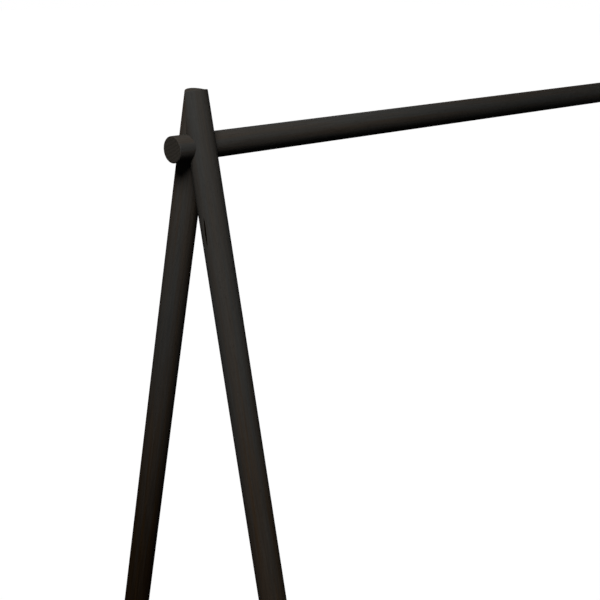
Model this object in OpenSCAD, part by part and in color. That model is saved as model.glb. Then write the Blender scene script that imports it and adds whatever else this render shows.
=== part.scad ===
// Clothes rack of round wooden rods. Two end frames, each of two leaning legs
// mitred together at the head, carry a hanging rail through a bore that runs
// across the mitre. A cross bar ties the legs of each frame near the floor, and
// two shoe rails tie the frames to each other.
// All sizes are millimetres. X runs along the rail, Y from the front legs to the
// rear legs and Z up, with the origin on the floor under the middle of the rail.

/* [Legs] */
// Diameter of the round legs
leg_d = 32; // [28:1:38]
// Lean of each leg away from upright, in degrees
leg_lean = 12.3; // [10:0.1:14]
// Height of the point where the axes of two legs meet, above the rail's axis
apex_rise = 38; // [32:1:46]
// Length of each leg beyond that point, up to its square-cut top
leg_past_apex = 23; // [18:1:40]
// Radius that eases the rim of every cut end
end_ease = 0.9; // [0.3:0.1:2]

/* [Hanging rail] */
// Diameter of the hanging rail
rail_d = 30; // [26:1:32]
// Height of the rail's axis above the floor
rail_h = 1390; // [1000:10:1700]
// Length of the rail from end to end
rail_len = 1500; // [900:10:1800]
// How far the rail stands out past the legs at each end
rail_stub = 20; // [5:1:60]
// Gap all round the rail in its bore
rail_fit = 0.15; // [0.1:0.05:0.4]

/* [Cross bars] */
// Diameter of the cross bars
bar_d = 28; // [26:1:32]
// Height of the cross bars' axes above the floor
bar_h = 220; // [120:10:500]
// Diameter of the turned tenon at each end of a cross bar
tenon_d = 20; // [14:1:24]
// Length of the tenon inside the leg
tenon_len = 20; // [12:1:24]
// Gap all round a tenon, and between a shoulder and its leg
tenon_fit = 0.1; // [0.05:0.05:0.3]

/* [Shoe rails] */
// Diameter of the two shoe rails
shoe_rail_d = 22; // [18:1:24]
// Distance between the axes of the shoe rails
shoe_rail_spacing = 150; // [80:5:260]
// Depth of the socket in the cross bar that takes the end of a shoe rail
socket_depth = 7; // [6:0.5:10]
// Gap all round a shoe rail in its socket
socket_fit = 0.15; // [0.1:0.05:0.3]

/* [Head dowels] */
// Diameter of the dowels that cross the mitre
dowel_d = 8; // [5:0.5:9]
// Length of a dowel, half of it in each leg
dowel_len = 24; // [16:1:28]
// Gap all round a dowel in its hole
dowel_fit = 0.05; // [0.05:0.05:0.2]
// Depth left free at the bottom of every blind hole
hole_spare = 1; // [0.5:0.5:2]

/* [Bolts] */
// Diameter of the bolts' threaded shanks
bolt_d = 6; // [5:0.5:7]
// Gap all round a shank in its drilled hole
bolt_fit = 0.25; // [0.15:0.05:0.5]
// Gap between a shank and the thread of its nut or insert
thread_fit = 0.05; // [0.05:0.01:0.1]
// Diameter of the flat bolt heads
bolt_head_d = 13; // [11:0.5:15]
// Thickness of the bolt heads
bolt_head_t = 2.6; // [2:0.1:3]
// Gap all round a bolt head in its counterbore
head_fit = 0.4; // [0.2:0.1:1]
// Width across the flats of the hexagon socket
hex_socket = 4; // [3:0.5:5]
// Depth of the hexagon socket
hex_socket_depth = 2.2; // [1:0.1:2.5]
// Depth of a cross bar's counterbore, from the crown of the bar
bar_counterbore = 4.4; // [3.6:0.1:6]
// Depth of the rear leg's counterbore, from the leg's surface
leg_counterbore = 5; // [4:0.5:7]
// Length of the bolts that hold the shoe rails, under the head
shoe_bolt_len = 55; // [45:5:80]
// Length of the bolts that lock the hanging rail, under the head
rail_bolt_len = 16; // [13:1:18]

/* [Nuts and inserts] */
// Diameter of the barrel nuts
nut_d = 10; // [9:0.5:12]
// Length of the barrel nuts
nut_len = 14; // [11:1:16]
// Gap all round a barrel nut in its hole
nut_fit = 0.1; // [0.05:0.05:0.3]
// How far a bolt's tip stands out past its barrel nut
tip_past_nut = 2.5; // [1:0.5:4]
// Outer diameter of the threaded inserts in the hanging rail
insert_d = 10; // [8.5:0.5:12]
// Length of the threaded inserts
insert_len = 13; // [9:1:16]
// Gap all round an insert in the rail
insert_fit = 0.05; // [0.05:0.05:0.2]

/* [Glides] */
// Diameter of the glide under each leg
glide_d = 26; // [20:1:27]
// Thickness of the glides
glide_t = 5; // [4:0.5:8]
// Radius that rounds the lower rim of a glide
glide_round = 1.6; // [0.5:0.1:2]
// Thickness of the glide below its nail's head
glide_floor = 1.4; // [0.8:0.1:1.8]
// Diameter of the nail's head, which is moulded into the glide
nail_head_d = 9; // [6:0.5:12]
// Thickness of the nail's head
nail_head_t = 1.2; // [0.8:0.1:1.6]
// Diameter of the nail
nail_d = 2.6; // [2:0.1:3.5]
// Length of the nail inside the leg
nail_len = 18; // [10:1:25]
// Gap all round the nail in the glide and in the leg
nail_fit = 0.05; // [0.05:0.05:0.2]

/* [Hidden] */
$fn = 64;

wood = "#2f2d2b";
hidden_wood = "#c9a574";
black_steel = "#3a3a3c";
zinc = "#b5b8bb";
nylon = "#1d1d1f";

leg_r = leg_d / 2;
rail_r = rail_d / 2;
bar_r = bar_d / 2;
shoe_rail_r = shoe_rail_d / 2;
bore_r = rail_r + rail_fit;

// Half the distance between the planes of the two end frames
frame_x = rail_len / 2 - rail_stub - leg_r;
// Height of the point where the axes of a frame's legs meet
apex_z = rail_h + apex_rise;
// Length of leg drawn below that point, enough to be cut off at the foot
leg_reach = apex_z / cos(leg_lean) + leg_d;
// Half the leg's level width, front to rear
leg_level_r = leg_r / cos(leg_lean);

// Distance of a leg's axis from the mitre, at a height above the floor
function leg_y(z) = (apex_z - z) * tan(leg_lean);

// The mitre runs from this tip, under the bore, up to the valley of the head
mitre_tip_z = apex_z - leg_r / sin(leg_lean);
mitre_top_z = apex_z + leg_past_apex / cos(leg_lean);
low_dowel_z = (rail_h - bore_r + mitre_tip_z) / 2;
high_dowel_z = (rail_h + bore_r + mitre_top_z) / 2;

// Rear face of the rear leg at rail height, and the seat of the locking bolt
rail_bolt_seat_y = leg_y(rail_h) + leg_level_r - leg_counterbore;
// The insert's outer end is level with the rail's surface beside it
insert_y = sqrt(pow(rail_r, 2) - pow(insert_d / 2, 2));

// Where the tenon meets the leg's surface, measured along the bar's axis
shoulder_y = leg_y(bar_h) - leg_level_r;
tenon_end_y = shoulder_y + tenon_len;

// Positions along X, measured from the plane of an end frame towards the middle
socket_floor_x = bar_r - socket_depth;
shoe_bolt_seat_x = bar_counterbore - bar_r;
nut_x = shoe_bolt_seat_x + shoe_bolt_len - tip_past_nut - nut_d / 2;
shoe_bolt_hole_end = shoe_bolt_seat_x + shoe_bolt_len + hole_spare;

foot_y = leg_y(glide_t);
nail_head_z = glide_floor + nail_fit;

// Puts a piece that is drawn for the left end frame at the left or right end
module at_left() translate([-frame_x, 0, 0]) children();
module at_right() mirror([1, 0, 0]) at_left() children();

// Repeats a piece at the places of both shoe rails
module at_shoe_rails()
    for (side = [-1, 1]) translate([0, side * shoe_rail_spacing / 2, bar_h]) children();

// Round rod along Z from the origin, with both rims eased
module rod(d, len) {
    r = d / 2;
    rotate_extrude() {
        square([r - end_ease, len]);
        translate([0, end_ease]) square([r, len - 2 * end_ease]);
        for (y = [end_ease, len - end_ease]) translate([r - end_ease, y]) circle(end_ease);
    }
}

// Cylinder along Y from one place to another
module y_cylinder(r, from, to) translate([0, from, 0]) rotate([-90, 0, 0]) cylinder(r = r, h = to - from);

// Cylinder along X from one place to another
module x_cylinder(r, from, to) translate([from, 0, 0]) rotate([0, 90, 0]) cylinder(r = r, h = to - from);

// Rear leg's round blank, wider by a gap where it is used to scribe a shoulder
module rear_leg_blank(gap = 0)
    translate([0, 0, apex_z]) rotate([leg_lean, 0, 0]) translate([0, 0, -leg_reach])
        rod(leg_d + 2 * gap, leg_reach + leg_past_apex);

// Block that takes away everything in front of the mitre
module mitre_cut()
    translate([-leg_d, -2 * leg_d, mitre_tip_z - leg_d])
        cube([2 * leg_d, 2 * leg_d, mitre_top_z - mitre_tip_z + 2 * leg_d]);

// Block that cuts the foot level on top of its glide
module foot_cut()
    translate([-leg_d, foot_y - 2 * leg_d, glide_t - 2 * leg_d]) cube([2 * leg_d, 4 * leg_d, 2 * leg_d]);

module head_dowel_holes()
    for (z = [low_dowel_z, high_dowel_z]) translate([0, 0, z])
        y_cylinder(dowel_d / 2 + dowel_fit, -dowel_len / 2 - hole_spare, dowel_len / 2 + hole_spare);

// Horizontal blind hole for the cross bar's tenon
module tenon_hole()
    translate([0, 0, bar_h])
        y_cylinder(tenon_d / 2 + tenon_fit, shoulder_y - leg_r, tenon_end_y + hole_spare);

module nail_hole()
    translate([0, foot_y, 0]) cylinder(r = nail_d / 2 + nail_fit, h = glide_t + nail_len + hole_spare);

// Stepped hole from the back of the rear leg to the rail, with a seat for the head
module rail_bolt_hole()
    translate([0, 0, rail_h]) {
        y_cylinder(bolt_d / 2 + bolt_fit, 0, rail_bolt_seat_y + leg_counterbore);
        y_cylinder(bolt_head_d / 2 + head_fit, rail_bolt_seat_y, rail_bolt_seat_y + leg_d);
    }

module plain_rear_leg() {
    difference() {
        rear_leg_blank();
        mitre_cut();
        foot_cut();
        translate([0, 0, rail_h]) x_cylinder(bore_r, -leg_d, leg_d);
        head_dowel_holes();
        tenon_hole();
        nail_hole();
    }
}

module front_leg() color(wood) mirror([0, 1, 0]) plain_rear_leg();

module rear_leg() color(wood) difference() {
    plain_rear_leg();
    rail_bolt_hole();
}

// Through rail with a blind hole at each head for its threaded insert
module hanging_rail()
    color(wood) difference() {
        translate([-rail_len / 2, 0, rail_h]) rotate([0, 90, 0]) rod(rail_d, rail_len);
        for (x = [-frame_x, frame_x]) translate([x, 0, rail_h])
            y_cylinder(insert_d / 2 + insert_fit, insert_y - insert_len - hole_spare, rail_d);
    }

// Cross bar with shoulders scribed to the legs, turned tenons, and for each shoe
// rail a socket on the inner side and a counterbored bolt hole from the outer side
module cross_bar()
    color(wood) difference() {
        union() {
            difference() {
                translate([0, 0, bar_h]) y_cylinder(bar_r, -tenon_end_y, tenon_end_y);
                for (side = [0, 1]) mirror([0, side, 0]) {
                    rear_leg_blank(tenon_fit);
                    translate([-bar_d, leg_y(bar_h), bar_h - bar_d]) cube([2 * bar_d, bar_d, 2 * bar_d]);
                }
            }
            translate([0, 0, bar_h]) y_cylinder(tenon_d / 2, -tenon_end_y, tenon_end_y);
        }
        at_shoe_rails() {
            x_cylinder(shoe_rail_r + socket_fit, socket_floor_x, bar_d);
            x_cylinder(bolt_d / 2 + bolt_fit, -bar_d, bar_d);
            x_cylinder(bolt_head_d / 2 + head_fit, -bar_d, shoe_bolt_seat_x);
        }
    }

// Shoe rail with an end hole for each bolt and a cross hole from below for its nut
module shoe_rail(side)
    color(wood) translate([0, side * shoe_rail_spacing / 2, bar_h]) difference() {
        x_cylinder(shoe_rail_r, socket_floor_x - frame_x, frame_x - socket_floor_x);
        for (end = [0, 1]) mirror([end, 0, 0]) translate([-frame_x, 0, 0]) {
            x_cylinder(bolt_d / 2 + bolt_fit, 0, shoe_bolt_hole_end);
            translate([nut_x, 0, -shoe_rail_d])
                cylinder(r = nut_d / 2 + nut_fit, h = shoe_rail_d + nut_len / 2 + nut_fit);
        }
    }

module head_dowels()
    color(hidden_wood) for (z = [low_dowel_z, high_dowel_z]) translate([0, 0, z])
        y_cylinder(dowel_d / 2, -dowel_len / 2, dowel_len / 2);

// Threaded sleeve let into the back of the rail
module rail_insert()
    color(zinc) translate([0, 0, rail_h]) difference() {
        y_cylinder(insert_d / 2, insert_y - insert_len, insert_y);
        y_cylinder(bolt_d / 2 + thread_fit, insert_y - insert_len - hole_spare, insert_y + hole_spare);
    }

// Flat-headed bolt along Z, with its tip at the bottom and its head's underside at the origin
module bolt(len)
    color(black_steel) difference() {
        union() {
            translate([0, 0, -len]) cylinder(d = bolt_d, h = len);
            cylinder(d = bolt_head_d, h = bolt_head_t);
        }
        translate([0, 0, bolt_head_t - hex_socket_depth])
            cylinder(d = hex_socket / cos(30), h = hex_socket_depth + hole_spare, $fn = 6);
    }

module rail_bolt() translate([0, rail_bolt_seat_y, rail_h]) rotate([-90, 0, 0]) bolt(rail_bolt_len);

module shoe_rail_bolts()
    at_shoe_rails() translate([shoe_bolt_seat_x, 0, 0]) rotate([0, -90, 0]) bolt(shoe_bolt_len);

// Barrel nuts, upright in the shoe rails, with their threaded holes along X
module barrel_nuts()
    color(zinc) at_shoe_rails() difference() {
        translate([nut_x, 0, -nut_len / 2]) cylinder(d = nut_d, h = nut_len);
        x_cylinder(bolt_d / 2 + thread_fit, nut_x - nut_d, nut_x + nut_d);
    }

// Round glide with a closed pocket for the nail's head
module glide(side)
    color(nylon) translate([0, side * foot_y, 0]) difference() {
        rotate_extrude() {
            square([glide_d / 2 - glide_round, glide_t]);
            translate([0, glide_round]) square([glide_d / 2, glide_t - glide_round]);
            translate([glide_d / 2 - glide_round, glide_round]) circle(glide_round);
        }
        translate([0, 0, glide_floor])
            cylinder(r = nail_head_d / 2 + nail_fit, h = nail_head_t + 2 * nail_fit);
        translate([0, 0, nail_head_z]) cylinder(r = nail_d / 2 + nail_fit, h = glide_t);
    }

module glide_nails()
    color(zinc) for (x = [-frame_x, frame_x], y = [-foot_y, foot_y]) translate([x, y, nail_head_z]) {
        cylinder(d = nail_head_d, h = nail_head_t);
        cylinder(d = nail_d, h = glide_t + nail_len - nail_head_z);
    }

at_left() front_leg();  // left_front_leg
at_left() rear_leg();  // left_rear_leg
at_right() front_leg();  // right_front_leg
at_right() rear_leg();  // right_rear_leg
hanging_rail();
at_left() cross_bar();  // left_cross_bar
at_right() cross_bar();  // right_cross_bar
shoe_rail(-1);  // front_shoe_rail
shoe_rail(1);  // rear_shoe_rail
at_left() head_dowels();  // left_head_dowels
at_right() head_dowels();  // right_head_dowels
at_left() rail_insert();  // left_rail_insert
at_right() rail_insert();  // right_rail_insert
at_left() rail_bolt();  // left_rail_bolt
at_right() rail_bolt();  // right_rail_bolt
at_left() barrel_nuts();  // left_barrel_nuts
at_right() barrel_nuts();  // right_barrel_nuts
at_left() shoe_rail_bolts();  // left_shoe_rail_bolts
at_right() shoe_rail_bolts();  // right_shoe_rail_bolts
at_left() glide(-1);  // left_front_glide
at_left() glide(1);  // left_rear_glide
at_right() glide(-1);  // right_front_glide
at_right() glide(1);  // right_rear_glide
glide_nails();
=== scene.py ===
"""Finish, hardware and stage of a clothes rack made of black-stained round wood.

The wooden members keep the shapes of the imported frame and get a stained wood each,
with the grain along the member. Bolts, nuts, inserts, dowels, glides and nails are
modelled here and stand for the plain ones. All lengths are metres.
"""

import math
from contextlib import contextmanager

import bmesh
import bpy
from bpy.props import FloatProperty, FloatVectorProperty, IntProperty, PointerProperty
from mathutils import Matrix, Vector


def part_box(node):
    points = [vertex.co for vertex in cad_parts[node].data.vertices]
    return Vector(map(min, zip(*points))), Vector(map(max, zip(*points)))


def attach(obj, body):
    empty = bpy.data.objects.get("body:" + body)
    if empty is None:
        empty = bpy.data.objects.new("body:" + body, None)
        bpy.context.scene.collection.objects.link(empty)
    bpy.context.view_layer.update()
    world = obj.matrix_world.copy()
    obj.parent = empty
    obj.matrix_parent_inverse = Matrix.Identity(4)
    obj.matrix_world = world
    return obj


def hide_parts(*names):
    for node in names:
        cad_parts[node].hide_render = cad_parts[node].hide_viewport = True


bl_info = {
    "name": "Clothes rack",
    "version": (1, 0, 0),
    "blender": (4, 5, 0),
    "location": "3D View > Sidebar > Rack",
    "description": "Finishes a clothes rack of stained round wood and models its hardware",
    "category": "Add Mesh",
}

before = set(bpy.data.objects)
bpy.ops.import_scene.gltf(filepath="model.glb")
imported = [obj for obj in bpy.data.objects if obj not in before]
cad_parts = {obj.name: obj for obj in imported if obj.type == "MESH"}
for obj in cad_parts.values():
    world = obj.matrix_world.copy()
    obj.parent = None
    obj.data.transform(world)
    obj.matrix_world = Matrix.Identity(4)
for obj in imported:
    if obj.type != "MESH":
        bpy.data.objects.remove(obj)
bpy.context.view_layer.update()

MM = 0.001
BODY = "root"
QUARTER_TURN = math.pi / 2
FULL_TURN = 2 * math.pi
X_AXIS = Vector((1, 0, 0))
Y_AXIS = Vector((0, 1, 0))
Z_AXIS = Vector((0, 0, 1))
ENDS = ("left", "right")
LEGS = ("left_front_leg", "left_rear_leg", "right_front_leg", "right_rear_leg")
# How near a height an edge or face counts as being at it, and how near two points count as one
TOLERANCE = 0.01 * MM
MERGE_DISTANCE = 0.001 * MM
# How far the camera sees, which is beyond the floor's edge
VIEW_DEPTH = 200


def middle(node):
    """Middle of a node's box."""
    low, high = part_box(node)
    return (low + high) / 2


def extent(node):
    """Size of a node's box."""
    low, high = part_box(node)
    return high - low


# Heights and distances that the frame gives
rail_height = middle("hanging_rail").z
bar_height = middle("left_cross_bar").z
shoe_rail_offset = middle("rear_shoe_rail").y
glide_diameter = extent("left_front_glide").x
glide_thickness = extent("left_front_glide").z
rail_bolt_head = extent("left_rail_bolt").x
dowel_diameter = extent("left_head_dowels").x
insert_diameter = extent("left_rail_insert").x
nut_diameter = extent("left_barrel_nuts").x

# Units and limits that like settings share
LENGTH = {"subtype": "DISTANCE", "unit": "LENGTH"}
PLACE = {"subtype": "TRANSLATION", "unit": "LENGTH", "size": 3}
ANGLE = {"subtype": "ANGLE", "unit": "ROTATION"}
POWER = {"subtype": "POWER", "unit": "POWER"}
SHARE = {"subtype": "FACTOR", "min": 0, "max": 1}
COLOUR = {"subtype": "COLOR", "size": 3, "min": 0, "max": 1}


class StainedWood(bpy.types.PropertyGroup):
    """Colours and grain of the stained members."""

    stain: FloatVectorProperty(
        name="Stain", description="Colour of the wood where the stain is dense",
        default=(0.0392, 0.0384, 0.036), **COLOUR)
    thin_stain: FloatVectorProperty(
        name="Thin stain", description="Colour where brown wood shows through the stain",
        default=(0.0465, 0.0275, 0.0135), **COLOUR)
    end_grain: FloatVectorProperty(
        name="End grain", description="Colour of the cut ends", default=(0.0365, 0.032, 0.027), **COLOUR)
    ring_spacing: FloatProperty(
        name="Ring spacing", description="Distance between two year rings", default=3.9 * MM, **LENGTH)
    pith_distance: FloatProperty(
        name="Pith distance", description="Distance of a member's axis from the heart of its tree",
        default=80 * MM, **LENGTH)
    leg_lean: FloatProperty(
        name="Leg lean", description="Lean of the legs away from upright",
        default=math.radians(12.3), **ANGLE)
    leg_meeting_height: FloatProperty(
        name="Leg meeting height", description="Height at which the axes of two legs meet",
        default=1428 * MM, **LENGTH)
    leg_radius: FloatProperty(
        name="Leg radius", description="Radius of the legs",
        default=extent("left_front_leg").x / 2, **LENGTH)
    gloss: FloatProperty(
        name="Gloss", description="Strength of the stained surface's reflection, 0 where it is dead matt",
        default=0.0, **SHARE)
    roughness: FloatProperty(
        name="Roughness", description="Roughness of the stained surface", default=0.55, **SHARE)


class Finishes(bpy.types.PropertyGroup):
    """Colours of the hardware."""

    beech: FloatVectorProperty(
        name="Beech", description="Colour of the dowels' bare wood", default=(0.56, 0.39, 0.22), **COLOUR)
    beech_fibre: FloatVectorProperty(
        name="Beech fibre", description="Colour of its darker fibres",
        default=(0.43, 0.28, 0.145), **COLOUR)
    beech_fleck: FloatVectorProperty(
        name="Beech fleck", description="Colour of its short flecks", default=(0.2, 0.11, 0.05), **COLOUR)
    steel: FloatVectorProperty(
        name="Steel", description="Colour of the bolts' black steel",
        default=(0.018, 0.018, 0.02), **COLOUR)
    steel_mottle: FloatVectorProperty(
        name="Steel mottle", description="Colour of its paler patches",
        default=(0.042, 0.041, 0.042), **COLOUR)
    zinc: FloatVectorProperty(
        name="Zinc", description="Colour of the zinc on nuts, inserts and nails",
        default=(0.6, 0.61, 0.63), **COLOUR)
    zinc_cloud: FloatVectorProperty(
        name="Zinc cloud", description="Colour of its duller clouds",
        default=(0.5, 0.505, 0.52), **COLOUR)
    nylon: FloatVectorProperty(
        name="Nylon", description="Colour of the glides' nylon", default=(0.017, 0.017, 0.018), **COLOUR)
    nylon_cloud: FloatVectorProperty(
        name="Nylon cloud", description="Colour of its paler clouds",
        default=(0.025, 0.025, 0.026), **COLOUR)


class Bolts(bpy.types.PropertyGroup):
    """Sizes of the flat-headed bolts."""

    shank_diameter: FloatProperty(
        name="Shank diameter", description="Diameter of the shanks", default=6 * MM, **LENGTH)
    head_diameter: FloatProperty(
        name="Head diameter", description="Diameter of the flat heads", default=rail_bolt_head, **LENGTH)
    head_thickness: FloatProperty(
        name="Head thickness", description="Thickness of the flat heads", default=2.6 * MM, **LENGTH)
    rim_round: FloatProperty(
        name="Rim round", description="Rounding of a head's outer rim", default=0.9 * MM, **LENGTH)
    socket_width: FloatProperty(
        name="Socket width", description="Hexagon socket across its flats", default=4 * MM, **LENGTH)
    socket_depth: FloatProperty(
        name="Socket depth", description="Depth of the hexagon socket", default=2.1 * MM, **LENGTH)
    pitch: FloatProperty(
        name="Pitch", description="Pitch of the thread", default=1 * MM, **LENGTH)
    thread_depth: FloatProperty(
        name="Thread depth", description="Depth of the thread", default=0.55 * MM, **LENGTH)
    longest_thread: FloatProperty(
        name="Longest thread", description="Thread of a bolt that is long enough for a plain shank",
        default=24 * MM, **LENGTH)
    tip_chamfer: FloatProperty(
        name="Tip chamfer", description="Chamfer at the tip", default=0.7 * MM, **LENGTH)


class NutsAndInserts(bpy.types.PropertyGroup):
    """Sizes of the barrel nuts and of the threaded inserts."""

    nut_diameter: FloatProperty(
        name="Nut diameter", description="Diameter of the barrel nuts", default=nut_diameter, **LENGTH)
    nut_chamfer: FloatProperty(
        name="Nut chamfer", description="Chamfer at both ends of a barrel nut",
        default=0.6 * MM, **LENGTH)
    slot_width: FloatProperty(
        name="Slot width", description="Width of the screwdriver slots", default=1.4 * MM, **LENGTH)
    slot_depth: FloatProperty(
        name="Slot depth", description="Depth of the screwdriver slots", default=1.5 * MM, **LENGTH)
    bore_diameter: FloatProperty(
        name="Bore diameter", description="Diameter inside the thread of a nut or insert",
        default=6.1 * MM, **LENGTH)
    insert_diameter: FloatProperty(
        name="Insert diameter", description="Diameter over the insert's outer thread",
        default=insert_diameter, **LENGTH)
    insert_pitch: FloatProperty(
        name="Insert pitch", description="Pitch of the insert's coarse outer thread",
        default=2.5 * MM, **LENGTH)
    insert_thread_depth: FloatProperty(
        name="Insert thread depth", description="Depth of the insert's outer thread",
        default=0.7 * MM, **LENGTH)


class Dowels(bpy.types.PropertyGroup):
    """Sizes of the fluted dowels in the heads."""

    diameter: FloatProperty(
        name="Diameter", description="Diameter of a dowel", default=dowel_diameter, **LENGTH)
    flutes: IntProperty(
        name="Flutes", description="Number of glue flutes round a dowel", min=6, max=32, default=18)
    flute_depth: FloatProperty(
        name="Flute depth", description="Depth of the flutes", default=0.35 * MM, **LENGTH)
    end_chamfer: FloatProperty(
        name="End chamfer", description="Chamfer at both ends of a dowel", default=1 * MM, **LENGTH)


class GlidesAndNails(bpy.types.PropertyGroup):
    """Sizes of the moulded glides and of the nails in them."""

    diameter: FloatProperty(
        name="Diameter", description="Diameter of a glide", default=glide_diameter, **LENGTH)
    thickness: FloatProperty(
        name="Thickness", description="Thickness of a glide", default=glide_thickness, **LENGTH)
    lower_round: FloatProperty(
        name="Lower round", description="Rounding of the lower rim", default=1.6 * MM, **LENGTH)
    upper_chamfer: FloatProperty(
        name="Upper chamfer", description="Chamfer of the upper rim", default=0.35 * MM, **LENGTH)
    dish_diameter: FloatProperty(
        name="Dish diameter", description="Diameter of the shallow dish in the underside",
        default=15 * MM, **LENGTH)
    dish_depth: FloatProperty(
        name="Dish depth", description="Depth of that dish", default=0.4 * MM, **LENGTH)
    nail_diameter: FloatProperty(
        name="Nail diameter", description="Diameter of a nail", default=2.6 * MM, **LENGTH)
    nail_head_diameter: FloatProperty(
        name="Nail head diameter", description="Diameter of a nail's head", default=9 * MM, **LENGTH)
    nail_head_thickness: FloatProperty(
        name="Nail head thickness", description="Thickness of a nail's head", default=1.2 * MM, **LENGTH)
    nail_gap: FloatProperty(
        name="Nail gap", description="Gap between a nail and its glide", default=0.05 * MM, **LENGTH)
    ring_pitch: FloatProperty(
        name="Ring pitch", description="Distance between the grip rings of a nail",
        default=1.2 * MM, **LENGTH)


class Stage(bpy.types.PropertyGroup):
    """Camera, lamps and floor."""

    camera_place: FloatVectorProperty(
        name="Camera place", description="Where the camera stands",
        default=(-1.5948, -1.0612, 1.5984), **PLACE)
    camera_heading: FloatProperty(
        name="Camera heading", description="Turn of the view from +Y towards +X",
        default=math.radians(44.454), **ANGLE)
    camera_drop: FloatProperty(
        name="Camera drop", description="Angle at which the camera looks down",
        default=math.radians(15.647), **ANGLE)
    camera_roll: FloatProperty(
        name="Camera roll", description="Turn of the camera about its line of sight",
        default=math.radians(0.171), **ANGLE)
    focal_length: FloatProperty(
        name="Focal length", description="Focal length of the lens, in mm", default=74.592)
    sensor_width: FloatProperty(
        name="Sensor width", description="Width of the camera's sensor, in mm", default=36)
    key_place: FloatVectorProperty(
        name="Key place", description="Where the soft box in front of the left head hangs",
        default=(-1.3, -0.45, 2.2), **PLACE)
    key_power: FloatProperty(
        name="Key power", description="Power of that soft box", default=16, **POWER)
    right_front_place: FloatVectorProperty(
        name="Right front place", description="Where the soft box before the right frame hangs",
        default=(1.3, -1.0, 1.8), **PLACE)
    right_back_place: FloatVectorProperty(
        name="Right back place", description="Where the soft box behind the right frame hangs",
        default=(1.3, 1.0, 1.8), **PLACE)
    left_back_place: FloatVectorProperty(
        name="Left back place", description="Where the soft box behind the left frame hangs",
        default=(0.6, 1.35, 1.8), **PLACE)
    right_power: FloatProperty(
        name="Right power", description="Power of each of the two soft boxes at the right frame",
        default=4.5, **POWER)
    left_back_power: FloatProperty(
        name="Left back power", description="Power of the soft box behind the left frame",
        default=8, **POWER)
    side_aim: FloatProperty(
        name="Side aim", description="Share of the rail's height at which these three point",
        default=0.62, **SHARE)
    side_spread: FloatProperty(
        name="Side spread", description="Angle to which the grids of these three narrow the light",
        default=math.radians(60), **ANGLE)
    box_width: FloatProperty(
        name="Box width", description="Width of each soft box", default=0.6, **LENGTH)
    sky_power: FloatProperty(
        name="Sky power", description="Strength of the even light from overhead", default=0.3)
    sky_spread: FloatProperty(
        name="Sky spread", description="Angle that the overhead light covers",
        default=math.radians(15), **ANGLE)
    fill_level: FloatProperty(
        name="Fill level", description="Brightness of the room as the wood sees it", default=0.03)
    floor_width: FloatProperty(
        name="Floor width", description="Width of the floor", default=60, **LENGTH)
    floor_bounce: FloatProperty(
        name="Floor bounce", description="Share of its light that the floor sends back to the wood",
        default=0.2, **SHARE)
    floor_shadow: FloatProperty(
        name="Floor shadow", description="Share of the floor's white that a full shadow takes away",
        default=0.3, **SHARE)
    floor_level: FloatProperty(
        name="Floor level", description="Brightness of the lit floor in view", default=1.01)


class Value:
    """One number of a material's tree. Python's operators on it add Math nodes."""

    def __init__(self, shader, socket):
        self.shader = shader
        self.socket = socket

    def math(self, operation, *operands, clamp=False):
        settings = {"operation": operation, "use_clamp": clamp}
        return self.shader.node("ShaderNodeMath", settings, dict(enumerate(operands)))

    def __add__(self, other):
        return self.math("ADD", self, other)

    __radd__ = __add__

    def __mul__(self, other):
        return self.math("MULTIPLY", self, other)

    __rmul__ = __mul__

    def __sub__(self, other):
        return self.math("SUBTRACT", self, other)

    def __rsub__(self, other):
        return self.math("SUBTRACT", other, self)

    def __truediv__(self, other):
        return self.math("DIVIDE", self, other)

    def __pow__(self, other):
        return self.math("POWER", self, other)

    def __abs__(self):
        return self.math("ABSOLUTE", self)

    def fraction(self):
        return self.math("FRACT", self)

    def at_least(self, other):
        return self.math("MAXIMUM", self, other)

    def clamped(self):
        return self.math("ADD", self, 0.0, clamp=True)

    def rise(self, start, end):
        """0 below start, 1 above end and a smooth step between them."""
        settings = {"interpolation_type": "SMOOTHSTEP"}
        values = {"Value": self, "From Min": start, "From Max": end}
        return self.shader.node("ShaderNodeMapRange", settings, values)


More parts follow.
